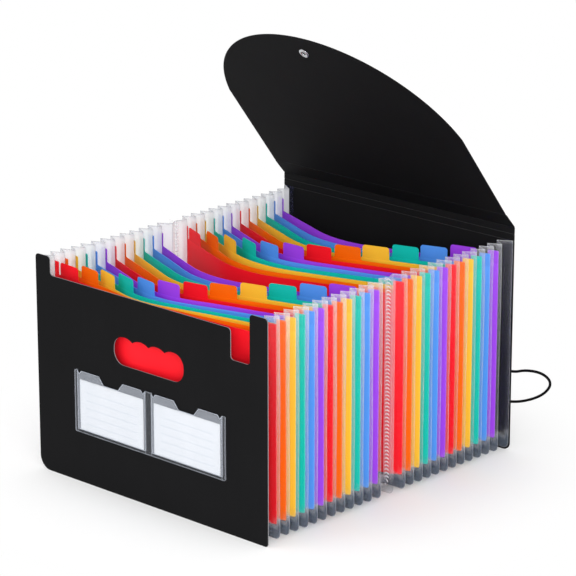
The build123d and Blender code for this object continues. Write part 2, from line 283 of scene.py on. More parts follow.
class Finish:
    """A material, or the world, whose nodes are made one by one and wired by value."""

    def __init__(self, name, store="materials"):
        self.made = getattr(bpy.data, store).new(name)
        self.made.use_nodes = True
        self.tree = self.made.node_tree
        self.tree.nodes.clear()

    def node(self, kind, settings=None, inputs=None, output=0):
        """Adds a node, sets it up and joins or sets its inputs; gives the chosen output."""
        made = self.tree.nodes.new(kind)
        for key, value in (settings or {}).items():
            setattr(made, key, value)
        for key, value in (inputs or {}).items():
            if isinstance(value, Wire):
                self.tree.links.new(value.socket, made.inputs[key])
            else:
                made.inputs[key].default_value = value
        return Wire(self, made.outputs[output]) if made.outputs else None

    def place(self):
        """Object coordinates in metres, with x, y and z beside them."""
        spot = self.node("ShaderNodeTexCoord", output="Object")
        axes = [self.node("ShaderNodeSeparateXYZ", inputs={0: spot}, output=i) for i in range(3)]
        return spot, axes

    def noise(self, spot, scale, detail=2.0, stretch=None):
        """Soft noise from 0 to 1, finer as scale grows, drawn out along stretch."""
        if stretch is not None:
            spot = self.node("ShaderNodeMapping", inputs={"Vector": spot, "Scale": stretch})
        return self.node("ShaderNodeTexNoise", inputs={"Vector": spot, "Scale": scale, "Detail": detail})

    def tint(self, share, first, second):
        """A colour between first and second."""
        return self.node(
            "ShaderNodeMix", {"data_type": "RGBA"}, {0: share, 6: first, 7: second}, output=2
        )

    def bump(self, height, strength, distance):
        """A normal that tilts with height."""
        return self.node(
            "ShaderNodeBump", inputs={"Height": height, "Strength": strength, "Distance": distance}
        )

    def veil(self, share, face, rgb):
        """Clear film: a share of it is haze, which throws most of the light back and passes the rest on."""
        glow = self.node("ShaderNodeBsdfTranslucent", inputs={"Color": rgb})
        haze = self.node("ShaderNodeMixShader", inputs={0: 0.35, 1: face, 2: glow})
        clear = self.node("ShaderNodeBsdfTransparent", inputs={"Color": WHITE})
        return self.node("ShaderNodeMixShader", inputs={0: share, 1: clear, 2: haze})

    def shell(self, **inputs):
        """The main surface shader."""
        named = {key.replace("_", " "): value for key, value in inputs.items()}
        return self.node("ShaderNodeBsdfPrincipled", inputs=named)

    def seen(self):
        """1 on rays from the eye, from gloss and through glass, else 0."""
        kinds = ("Camera", "Glossy", "Transmission")
        eye, gloss, glass = (self.node("ShaderNodeLightPath", output=f"Is {kind} Ray") for kind in kinds)
        return eye + gloss + glass > 0.5

    def done(self, shader, kind="Material"):
        """Ends the finish and gives what it was made for."""
        self.node("ShaderNodeOutput" + kind, inputs={"Surface": shader})
        return self.made


def opaque(rgb, tone=1.0):
    """A colour without alpha, lighter or darker by its tone."""
    return (*(tone * c for c in rgb), 1.0)


def black_sheet_finish(rgb, highlight_rgb):
    """Satin black sheet with a fine pebbled grain and faint scuffs, and a painted highlight on the front
    cover's edges that face up or to the right.
    """
    f = Finish("black_sheet")
    spot, (_, y, _) = f.place()
    facing = f.node("ShaderNodeTexCoord", output="Normal")
    right, up = (f.node("ShaderNodeSeparateXYZ", inputs={0: facing}, output=i) for i in (0, 2))
    # Painted highlight: the front cover's edges that face up or to the right take a pale grey, as if they
    # caught the light.
    lit_edges = ((right > 0.6) + (up > 0.8)) * (y < FRONT_INNER * MM + 0.001)
    grain = f.noise(spot, 2600.0, 1.0)
    cloud = f.noise(spot, 14.0, 3.0)
    scuff = f.noise(spot, 160.0, 4.0, (1.0, 1.0, 0.12))
    pale = tuple(1.5 * c + 0.002 for c in rgb)
    face = f.tint(cloud * 0.5 + scuff * 0.35, opaque(rgb), opaque(pale))
    base = f.tint(lit_edges, face, opaque(highlight_rgb))
    rough = 0.52 + 0.12 * cloud + 0.10 * scuff
    normal = f.bump(grain, 0.16, 0.00012)
    return f.done(f.shell(Base_Color=base, Roughness=rough, Specular_IOR_Level=0.03, Normal=normal))


def divider_finish(name, rgb, edge):
    """Coloured sheet that passes a little light on, and shows what lies behind it above its edge."""
    f = Finish("divider_" + name)
    spot, (_, _, z) = f.place()
    grain = f.noise(spot, 1800.0, 1.0)
    cloud = f.noise(spot, 9.0, 2.0)
    base = f.tint(cloud * 0.7, opaque(rgb), opaque(rgb, 0.93))
    face = f.shell(
        Base_Color=base,
        Roughness=0.40 + 0.14 * cloud,
        Specular_IOR_Level=0.12,
        Normal=f.bump(grain, 0.10, 0.0001),
    )
    body = f.node("ShaderNodeBsdfTranslucent", inputs={"Color": base})
    glow = f.node("ShaderNodeMixShader", inputs={0: 0.08, 1: face, 2: body})
    pale = tuple(0.4 + 0.6 * c for c in rgb)
    clear = f.node("ShaderNodeBsdfTransparent", inputs={"Color": opaque(pale)})
    share = 0.04 + 0.12 * (z > edge * MM)
    return f.done(f.node("ShaderNodeMixShader", inputs={0: share, 1: glow, 2: clear}))


def film_finish(name, rgb, colours):
    """Clear film, hazy by its own "haze" value and streaked along its height; a second value of its own mixes
    painted shade, a dark grey-blue, into its colour.
    """
    f = Finish(name)
    spot, _ = f.place()
    haze = f.node("ShaderNodeAttribute", {"attribute_name": "haze"}, output="Fac")
    # Painted shade: how much of the dark grey-blue is mixed into the film's colour.
    smoke = f.node("ShaderNodeAttribute", {"attribute_name": "smoke"}, output="Fac")
    streak = f.noise(spot, 60.0, 3.0, (1.0, 1.0, 0.06))
    film = f.tint(haze, opaque(rgb), opaque(colours.weld))
    base = f.tint(smoke, film, opaque(colours.smoke))
    normal = f.bump(streak, 0.15, 0.0006)
    face = f.shell(Base_Color=base, Roughness=0.18 + 0.20 * streak, Normal=normal)
    return f.done(f.veil(haze * (0.88 + 0.24 * streak), face, base))


def label_film_finish(rgb):
    """Label pocket film: clear where welded down, hazy where it stands off the cover, pale along its edges.

    An edge is a thin band beside a straight line: the film's outline, its welds' edges, and the slopes of the
    thumb notches and nicks, where the distance from the cut's middle grows evenly with height."""
    f = Finish("label_film")
    spot, (x, _, z) = f.place()
    low, high = node_box("label_holder")
    floor, top, side = low[2], high[2], high[0]
    outer, inner, weld, line = side - 4.0, 4.5, 3.5, 0.4
    mouth_wide, mouth_narrow, mouth_deep = 17.5, 10.5, 8.5
    nick, nick_deep = 3.0, 3.5
    middle, half = (outer + inner) / 2, (outer - inner) / 2
    x, z = abs(x) / MM, z / MM
    notch = abs(x - middle)
    front = (z > floor + weld) * (notch < half)

    def near(value, place):
        return abs(value - place) < line

    def slope(distance, wide, narrow, drop):
        """The band beside a cut that narrows from wide at the top to narrow at its depth."""
        reach = wide - (top - z) * ((wide - narrow) / drop)
        return (distance > reach - 0.2) * (distance < reach + 2.2 * line) * (z > top - drop - line)

    outline = near(x, side) + near(z, floor) + near(z, top) + near(notch, half)
    welds = near(z, floor + weld) * (notch < half)
    mouth = slope(notch, mouth_wide, mouth_narrow, mouth_deep)
    mouth = mouth + (z > top - mouth_deep - 2 * line) * (notch < mouth_narrow)
    inner_nick = slope(abs(x - inner - nick), nick, 0.0, nick_deep)
    nicks = inner_nick + slope(abs(x - outer + nick), nick, 0.0, nick_deep)
    pale = outline + welds + mouth + nicks > 0.5
    streak = f.noise(spot, 24.0, 3.0, (1.0, 1.0, 0.3))
    face = f.shell(Base_Color=opaque(rgb), Roughness=0.16 + 0.14 * streak)
    return f.done(f.veil(0.10 + front * (0.14 + 0.10 * streak) + 0.30 * pale, face, opaque(rgb)))


def card_finish(rgb, rule):
    """White card with faint ruled lines."""
    f = Finish("white_card")
    spot, (x, _, z) = f.place()
    low, high = node_box("label_card_left")
    middle = -(low[0] + high[0]) / 2 * MM
    fibre = f.noise(spot, 900.0, 3.0)
    half_rule, pitch, thick, first, margin = 37.0, 8.5, 0.8, 7.0, 6.0
    across = abs(abs(x) - middle) < half_rule * MM
    line = ((z - (low[2] + first) * MM) % (pitch * MM) < thick * MM) * (z > (low[2] + margin) * MM)
    ruled = line * (z < (high[2] - margin) * MM) * across
    paper = f.tint(fibre * 0.5, opaque(rgb), opaque(rgb, 0.93))
    base = f.tint(ruled, paper, opaque(rule))
    return f.done(f.shell(Base_Color=base, Roughness=0.62 + 0.12 * fibre, Normal=f.bump(fibre, 0.08, 0.0001)))


def metal_finish(rgb):
    """Bright plated metal with fine turning marks."""
    f = Finish("bright_metal")
    spot, _ = f.place()
    mark = f.noise(spot, 700.0, 3.0, (1.0, 0.2, 1.0))
    base = f.tint(mark, opaque(rgb), opaque(rgb, 0.8))
    return f.done(f.shell(Base_Color=base, Metallic=1.0, Roughness=0.16 + 0.16 * mark))


def button_finish(rgb):
    """Moulded black plastic."""
    f = Finish("black_button")
    spot, _ = f.place()
    grain = f.noise(spot, 900.0, 2.0)
    base = f.tint(grain, opaque(rgb), opaque(rgb, 1.6))
    return f.done(f.shell(Base_Color=base, Roughness=0.26 + 0.12 * grain, Normal=f.bump(grain, 0.05, 0.0002)))


def elastic_finish(rgb):
    """Braided cover: the strands' crossings are worked out from the piece's own UV map."""
    f = Finish("black_elastic")
    uv = f.node("ShaderNodeUVMap", {"uv_map": "braid"})
    along, round_ = (f.node("ShaderNodeSeparateXYZ", inputs={0: uv}, output=i) for i in range(2))
    wave = f.node("ShaderNodeMath", {"operation": "SINE"}, {0: (along + round_) * math.tau})
    other = f.node("ShaderNodeMath", {"operation": "SINE"}, {0: (along - round_) * math.tau})
    strand = wave * other * 0.5 + 0.5
    # Painted highlight and shade: the colour is lighter on the strands' crowns and darker in the dips between
    # them, following the relief.
    base = f.tint(strand, opaque(rgb, 0.6), opaque(rgb, 1.6))
    rough, normal = 0.9 - 0.2 * strand, f.bump(strand, 0.5, 0.0002)
    return f.done(f.shell(Base_Color=base, Roughness=rough, Specular_IOR_Level=0.1, Normal=normal))


def floor_finish(rgb):
    """Pale floor that fades to plain white away from the file, so that no horizon shows."""
    f = Finish("studio_floor")
    spot, _ = f.place()
    reach = f.node("ShaderNodeVectorMath", {"operation": "LENGTH"}, {0: spot}, output="Value")
    bend = {"interpolation_type": "SMOOTHSTEP"}
    far = f.node("ShaderNodeMapRange", bend, {0: reach, 1: FADE_START, 2: FADE_END})
    matt = f.shell(Base_Color=opaque(rgb), Roughness=0.9, Specular_IOR_Level=0.0)
    white = f.node("ShaderNodeEmission", inputs={"Color": WHITE, "Strength": 1.0})
    return f.done(f.node("ShaderNodeMixShader", inputs={0: far * f.seen(), 1: matt, 2: white}))


def grid_faces(rows, columns, ring=False):
    """Quads of a grid of points, row after row; with ring, the last column joins the first."""
    i = np.arange(rows - 1)[:, None]
    j = np.arange(columns if ring else columns - 1)[None, :]
    beside = (j + 1) % columns
    quads = (i * columns + j, i * columns + beside, (i + 1) * columns + beside, (i + 1) * columns + j)
    return np.stack(np.broadcast_arrays(*quads), axis=-1).reshape(-1, 4)


def make_piece(name, points, faces, material, smooth=True, values=None, corner_uv=None):
    """A mesh object from points in millimetres and faces; values are its own numbers by point."""
    mesh = bpy.data.meshes.new(name)
    mesh.from_pydata((np.asarray(points, float) * MM).tolist(), [], [list(map(int, q)) for q in faces])
    for key, numbers in (values or {}).items():
        mesh.attributes.new(key, "FLOAT", "POINT").data.foreach_set("value", np.asarray(numbers, np.float32))
    if corner_uv is not None:
        layer = mesh.uv_layers.new(name="braid")
        layer.data.foreach_set("uv", np.asarray(corner_uv, np.float32).ravel())
    mesh.polygons.foreach_set("use_smooth", [smooth] * len(mesh.polygons))
    mesh.materials.append(material)
    mesh.update()
    made = bpy.data.objects.new(name, mesh)
    bpy.context.scene.collection.objects.link(made)
    return made


def shell(first, second, shape):
    """Two like grids joined all round into one closed skin; the grid faces from second to first."""
    rows, columns = shape
    index = np.arange(rows * columns).reshape(shape)
    edge = np.concatenate([index[0, :-1], index[:-1, -1], index[-1, :0:-1], index[:0:-1, 0]])
    after = np.roll(edge, -1)
    rim = np.stack([edge, edge + index.size, after + index.size, after], axis=1)
    face = grid_faces(rows, columns)
    return np.vstack([first, second]), np.vstack([face, face[:, ::-1] + index.size, rim])


def slab(points, shape, thickness):
    """A grid that faces the front, with half of its thickness before it and half behind it."""
    half = np.array((0.0, thickness / 2, 0.0))
    return shell(points - half, points + half, shape)


def dress(node, material):
    """Gives a CAD node that keeps its shape a better finish."""
    for holder in frame["nodes"][node].material_slots:
        holder.material = material


def stand_in(piece, body, node):
    """The piece moves with a body and stands for a CAD node, which it hides."""
    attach(piece, body)
    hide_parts(node)


def flatten(piece, y):
    """Gives the piece a mesh of its own; y is not used."""
    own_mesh(piece)


def smoothstep(low, high, value):
    """0 below low, 1 above high and an even bend between them."""
    t = np.clip((value - low) / (high - low), 0, 1)
    return t * t * (3 - 2 * t)


class Plan:
    """Where the folds and sheets lie, by sheet number from the front."""

    def __init__(self, film, sheets):
        self.film = film
        self.sheets = sheets
        self.count = 2 * film.pleats
        self.fold_half = FILM_HIGH[0]
        self.half = self.fold_half - sheets.margin
        self.bottom = FILM_LOW[2]
        self.top = FILM_HIGH[2]
        low, high = node_box("divider_01")
        self.sheet_bottom = low[2]
        self.tab_top = high[2]
        self.seam_pull = (self.pull(film.pleats) + self.pull(film.pleats + 1)) / 2

    def fold(self, n):
        """Depth of fold n."""
        if n <= self.film.pleats:
            return FRONT_INNER + self.film.end_gap + (n - 1) * self.film.pitch
        return BACK_INNER - self.film.end_gap - (self.count - n) * self.film.pitch

    def end(self, n):
        """Depth of the ends of sheet n, just in front of its fold."""
        return self.fold(n) - self.sheets.tuck

    def bow(self, n):
        """How far the middle of sheet n stands forward: it grows behind the front and dies at the back."""
        s = self.sheets
        to_front = n * self.film.pitch
        to_back = (self.count + s.bow_spare - n) * self.film.pitch
        room = self.end(n) - FRONT_INNER - s.front_rest - s.rest * (n - 1)
        grown = (1 - math.exp(-to_front / s.bow_front)) * (1 - math.exp(-to_back / s.bow_back))
        return min(room, s.bow * grown)

    def pull(self, n):
        """How far bowed sheet n draws in the left side of the bellows: its share of what the bow takes up."""
        return 2 * self.sheets.draw * (self.half - math.sqrt(self.half**2 - self.bow(n) ** 2))

    def section(self, inset, top, corner, pull=0.0):
        """Points (x, z) of the bellows' U for each row, drawn in by inset and on the left by pull."""
        left, right = -self.fold_half + pull + inset, self.fold_half - inset
        return trough(left, right, self.bottom + inset, top, corner)

    def under(self, z):
        """1 below the sheets' lower edge, 0 above it."""
        return 1 - smoothstep(self.sheet_bottom - 1, self.sheet_bottom + 1, z)

    def face(self, n, x):
        """Depth of sheet n at x: two straight wings that meet in an arc, left of the middle."""
        left, right, bend = -self.half + self.pull(n), self.half, -self.sheets.bow_left
        bow, radius = self.bow(n), self.sheets.bow_round
        fall, rise = math.atan2(bow, bend - left), math.atan2(bow, right - bend)
        tangent = radius * math.tan((fall + rise) / 2)
        start, stop = bend - tangent * math.cos(fall), bend + tangent * math.cos(rise)
        centre = start + radius * math.sin(fall)
        middle = tangent * math.sin(fall) - bow + radius * math.cos(fall)
        arc = middle - np.sqrt(np.maximum(radius**2 - (x - centre) ** 2, 0))
        wings = np.maximum(-math.tan(fall) * (x - left), -math.tan(rise) * (right - x))
        return self.end(n) + np.where((x > start) & (x < stop), arc, wings)


SIDE_SHARES = np.array(
    [0, 0.004, 0.02, 0.045, 0.055, 0.1, 0.18, 0.28, 0.4, 0.52, 0.64, 0.76, 0.86, 0.93, 0.97, 1]
)
WALL_SHARES = np.array([0, 0.035, 0.12, 0.4, 0.73, 0.76, 0.88, 0.965])
CREST_SHARE = 0.035
SHEET_SHARE = 0.745


def trough(left, right, low, top, corner):
    """Points (x, z) of a U for each row: down the left side, round two corners and up the right side."""
    left, right, low, corner = (np.asarray(v, float)[:, None] for v in (left, right, low, corner))
    turn = np.linspace(0, math.pi / 2, 7)[None, :]
    across = np.linspace(0, 1, 20)[None, 1:-1]
    down = SIDE_SHARES[None, :-1]
    side_z = top + (low + corner - top) * down
    arc_in, arc_z = corner * (1 - np.cos(turn)), low + corner * (1 - np.sin(turn))
    inner_left, inner_right = left + corner, right - corner
    x = np.concatenate(
        [left + 0 * side_z, left + arc_in, inner_left + (inner_right - inner_left) * across,
         (right - arc_in)[:, ::-1], (right + 0 * side_z)[:, ::-1]], axis=1)
    z = np.concatenate(
        [side_z, arc_z, low + 0 * across + 0 * left, arc_z[:, ::-1], side_z[:, ::-1]], axis=1)
    return x, z


def bellows_points(plan, keys, look):
    """Pleated film through key sections (depth, pull, inset), each a U drawn in by its inset.

    Rows run between the key sections, closer beside the folds; columns run round the U. The film's haze
    is low where it lies on a divider, higher where it stands free and highest on the folds."""
    keys = np.array(keys)
    share = WALL_SHARES[None, :, None]
    rows = (keys[:-1, None] + (keys[1:, None] - keys[:-1, None]) * share).reshape(-1, 3)
    front_wall = np.repeat(keys[1:, 2] < keys[:-1, 2], len(WALL_SHARES))
    along = np.tile(WALL_SHARES, len(keys) - 1)
    rows = np.vstack([rows, keys[-1]])
    front_wall = np.append(front_wall, front_wall[-1])[:, None]
    along = np.append(along, 1.0)[:, None]
    depth, pull, inset = rows.T
    film = plan.film
    corner = film.corner + (film.valley_corner - film.corner) * inset / film.pleat_depth
    number = np.arange(len(rows))[:, None]
    free = 1 - inset[:, None] / film.pleat_depth

    def skin(extra):
        """The film's outer surface moved inwards by extra, with a slow wander along its free folds."""
        x, z = plan.section(inset + extra, plan.top, corner - extra, pull)
        wander = WANDER * free * np.sin(z / WANDER_LENGTH + WANDER_TURN * number // len(WALL_SHARES))
        x = x + wander * np.sign(x) * smoothstep(30, 60, z)
        return x, depth[:, None] + 0 * x, z

    x, y, z = skin(0.0)
    above_low = smoothstep(plan.sheet_bottom - 2, plan.sheet_bottom + 2, z)
    below_top = 1 - smoothstep(plan.tab_top - 1, plan.tab_top + 1, z)
    on_sheet = front_wall * (along < SHEET_SHARE) * (x > 0) * above_low * below_top
    crest = np.maximum(1 - np.minimum(along, 1 - along) / CREST_SHARE, 0)
    rim = 1 - smoothstep(0.2, 1.2, plan.top - z)
    # Painted reflection: haze that grows with height, standing for light from above reflected off the film.
    lift = smoothstep(60, 225, z)
    right_haze = (look.free + look.lift * lift) * np.where(y > 0, look.rear, 1.0)
    free_haze = np.where(x < 0, look.left, right_haze)
    by_cover = (np.abs(y) > BACK_INNER - film.end_gap / 2 - 0.1) & (x > 0)
    free_haze = np.where(by_cover, look.cover * free_haze, free_haze)
    sheet_haze = look.sheet + look.sheet_lift * lift**2
    under = plan.under(z)
    haze = free_haze + (sheet_haze - free_haze) * on_sheet
    haze = haze + look.crest * crest + look.rim * rim + look.under * under
    # Painted shade on the left side: dark outlines along its folds and upper edge.
    outline = np.where(x < 0, np.maximum(0.55 * crest, 0.5 * rim), 0.0)
    # Painted shade below the dividers, lighter on the folds there, together with the left side's dark
    # outlines.
    smoke = np.maximum(under * (1 - 0.6 * crest), outline)
    outer, inner = (np.stack(skin(extra), axis=-1).reshape(-1, 3) for extra in (0.0, film.wall))
    values = {"haze": np.tile(haze.ravel(), 2), "smoke": np.tile(smoke.ravel(), 2)}
    return (*shell(inner, outer, x.shape), values)


def flange_points(plan, width, top, y):
    """A flat U-shaped strip at depth y: columns run round the U, rows from its outer edge inwards."""
    inset = np.linspace(0, width, 7)
    x, z = plan.section(inset, top, np.full(len(inset), plan.film.corner))
    return np.stack([x, np.full_like(x, y), z], axis=-1).reshape(-1, 3), x.shape


def unit(ways):
    """Each row at length 1."""
    return ways / np.linalg.norm(ways, axis=-1, keepdims=True)


def reach_of(points):
    """Length along a line of points up to each of them."""
    return np.concatenate([[0], np.cumsum(np.linalg.norm(np.diff(points, axis=0), axis=1))])


def places_at(points, at):
    """Places on a line of points at given lengths along it."""
    reach = reach_of(points)
    return np.stack([np.interp(at, reach, axis) for axis in points.T], axis=1)


def line_along(points, step):
    """Places every step along a line of points, with the line's direction at each."""
    at, near = np.arange(step / 2, reach_of(points)[-1], step), 0.2
    way = places_at(points, at + near) - places_at(points, at - near)
    return places_at(points, at), unit(way)


def repeat(shape, faces, spots, way, y, facing):
    """Copies of a small shape (along, across, out) set along a line in a plane of constant depth."""
    side = np.stack([way[:, 1], -way[:, 0]], axis=1)
    flat = spots[:, None] + shape[None, :, 0:1] * way[:, None] + shape[None, :, 1:2] * side[:, None]
    out = np.broadcast_to(y + facing * shape[None, :, 2], flat.shape[:2])
    points = np.stack([flat[..., 0], out, flat[..., 1]], axis=-1).reshape(-1, 3)
    shift = np.arange(len(spots))[:, None, None] * len(shape)
    faces = faces if facing > 0 else faces[:, ::-1]
    return points, (faces[None] + shift).reshape(-1, faces.shape[1])


def weld_dot():
    """A small dome of two rings and a flat top."""
    turn = np.arange(8) / 8 * math.tau
    rings = [(0.75, 0.0), (0.5, 0.22), (0.15, 0.3)]
    shape = np.array([(r * math.cos(t), r * math.sin(t), h) for r, h in rings for t in turn])
    return shape, grid_faces(3, 8, ring=True)


def weld_arch():
    """A raised bar, bent into a low arch: its middle is along the line by a cosine of the place across."""
    half, thick = 2.6, 0.6
    across = np.linspace(-half, half, 5)
    arch = 1.2 * np.cos(math.pi / 2 * across / half) - 0.6
    rows = [(thick, 0.0), (0.0, 0.25), (-thick, 0.0)]
    shape = np.concatenate([np.column_stack([arch + t, across, np.full(5, h)]) for t, h in rows])
    return shape, grid_faces(3, 5)


def joined(parts):
    """Points, faces and haze of several shapes as one."""
    points, faces, haze, start = [], [], [], 0
    for p, f, h in parts:
        points.append(p)
        faces.extend(np.asarray(f) + start)
        haze.append(np.broadcast_to(h, len(p)))
        start += len(p)
    return np.vstack(points), faces, np.concatenate(haze)


def arc_points(centre, radius, start, stop, steps=6):
    """Points on an arc about centre, angles in degrees from the x axis."""
    turn = np.radians(np.linspace(start, stop, steps))
    return np.stack([centre[0] + radius * np.cos(turn), centre[1] + radius * np.sin(turn)], axis=1)


def sheet_edge_line(left, right, edge, top, ear, tab_left, tab_right, corner):
    """Upper outline of a sheet from left to right: end strip, edge, rounded tab, edge, end strip."""
    nip, foot = 1.0, min(corner, 1.6)

    def bump(a, b, round_, base_a, base_b):
        line = []
        if base_a:
            line.append(arc_points((a - base_a, edge + base_a), base_a, -90, -2))
        line.append(arc_points((a + round_, top - round_), round_, 178, 90))
        line.append(arc_points((b - round_, top - round_), round_, 90, 2))
        if base_b:
            line.append(arc_points((b + base_b, edge + base_b), base_b, 182, 270))
        return np.vstack(line)

    def run(a, b):
        x = np.linspace(a, b, max(int((b - a) / 5.0), 2) + 1)[1:-1]
        return np.stack([x, np.full_like(x, edge)], axis=1)

    return np.vstack(
        [
            bump(left, left + ear, nip, 0, nip),
            run(left + ear + nip, tab_left - foot),
            bump(tab_left, tab_right, corner, foot, foot),
            run(tab_right + foot, right - ear - nip),
            bump(right - ear, right, nip, nip, 0),
        ]
    )


def sheet_points(plan, n):
    """Sheet n: x runs along its upper outline, z from its lower edge up to that outline.

    Its depth is two straight wings that meet in an arc, with a slack ripple that grows towards the top."""
    s = plan.sheets
    left, right = -plan.half + plan.pull(n), plan.half
    share = (right - left) / (2 * plan.half)
    step = (n - 1) % plan.film.pleats
    row = 2 * plan.half - s.tab_start - s.tab - s.tab_spare
    tab_left = left + (s.tab_start + step * row / (plan.film.pleats - 1)) * share
    edge = plan.tab_top - s.edge_drop
    line = sheet_edge_line(
        left, right, edge, plan.tab_top, s.ear, tab_left, tab_left + s.tab * share, s.tab_round
    )
    x, top = line[:, 0], line[:, 1]
    near_end = np.clip(s.tab_round - np.minimum(x - left, right - x), 0, s.tab_round)
    low = plan.sheet_bottom + s.tab_round - np.sqrt(s.tab_round**2 - near_end**2)
    up = np.array([0, 0.12, 0.25, 0.38, 0.5, 0.62, 0.72, 0.8, 0.86, 0.91, 0.95, 1.0])[:, None]
    z = low + (top - low) * up
    x = np.broadcast_to(x, z.shape)
    across = (x - left) / (right - left)
    slack = np.clip(4 * across * (1 - across), 0, 1)
    ripple = s.ripple * slack * up**2 * np.sin(math.tau * (1.6 * across + 0.37 * n))
    y = plan.face(n, x) + s.thickness / 2 + ripple
    return np.stack([x, y, z], axis=-1).reshape(-1, 3), z.shape


def turned(profile, centre, axis, segments=48):
    """A profile of (radius, height) carried round an axis through centre."""
    axis = np.array(axis, float)
    side = unit(np.cross(axis, (1.0, 0.0, 0.0)))
    other = np.cross(axis, side)
    turn = np.arange(segments) / segments * math.tau
    radius, height = np.array(profile, float).T
    ring = np.cos(turn)[None, :, None] * side + np.sin(turn)[None, :, None] * other
    points = np.array(centre) + height[:, None, None] * axis + radius[:, None, None] * ring
    return points.reshape(-1, 3), grid_faces(len(profile), segments, ring=True)


def rolled(radius, height, inner, rim):
    """Half-round profile from (inner, height) over a rim to (radius, 0)."""
    turn = np.linspace(math.pi, 0, 9)
    middle, half = (inner + radius) / 2, (radius - inner) / 2
    return [(middle + half * math.cos(t), height + rim * math.sin(t)) for t in turn]


class FILE_OT_stage(bpy.types.Operator):
    """Floor, light and camera of the studio"""

    bl_idname = "file.stage"
    bl_label = "Stage"

    def execute(self, context):
        scene, studio = context.scene, context.scene.file_studio
        scene.view_settings.view_transform = "Standard"
        scene.cycles.transparent_max_bounces = 48
        self.lay_floor(floor_finish(scene.file_colours.floor))
        self.light_sky(scene, studio.sky)
        self.hang_lamp("key_lamp", KEY_PLACE, KEY_SIZE, studio.key)
        self.hang_lamp("fill_lamp", FILL_PLACE, FILL_SIZE, studio.fill)
        camera = bpy.data.objects.new("camera", bpy.data.cameras.new("camera"))
        camera.data.lens = studio.lens
        camera.data.sensor_width = 36.0
        camera.data.clip_end = 30.0
        camera.location = studio.camera
        camera.rotation_euler = (math.pi / 2 - studio.elevation, 0.0, studio.azimuth)
        scene.collection.objects.link(camera)
        scene.camera = camera
        return {"FINISHED"}

    def lay_floor(self, material):
        """A flat grid, 8 m across, at the height that the file stands on."""
        span = np.linspace(-4000, 4000, 9)
        x, y = np.meshgrid(span, span)
        points = np.stack([x, y, np.zeros_like(x)], axis=-1).reshape(-1, 3)
        floor = make_piece("floor", points, grid_faces(9, 9), material, smooth=False)
        floor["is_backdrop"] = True

    def light_sky(self, scene, strength):
        """Even light all round; the eye, gloss and glass see it as plain white."""
        f = Finish("studio", "worlds")
        even = f.node("ShaderNodeBackground", inputs={"Color": WHITE, "Strength": strength})
        white = f.node("ShaderNodeBackground", inputs={"Color": WHITE, "Strength": 1.0})
        scene.world = f.done(f.node("ShaderNodeMixShader", inputs={0: f.seen(), 1: even, 2: white}), "World")

    def hang_lamp(self, name, place, size, power):
        """A square soft lamp that faces the middle of the file."""
        lamp = bpy.data.objects.new(name, bpy.data.lights.new(name, "AREA"))
        lamp.data.size = size
        lamp.data.energy = power
        lamp.location = place
        way = Vector(LAMP_TARGET) - Vector(place)
        lamp.rotation_euler = way.to_track_quat("-Z", "Y").to_euler()
        bpy.context.scene.collection.objects.link(lamp)


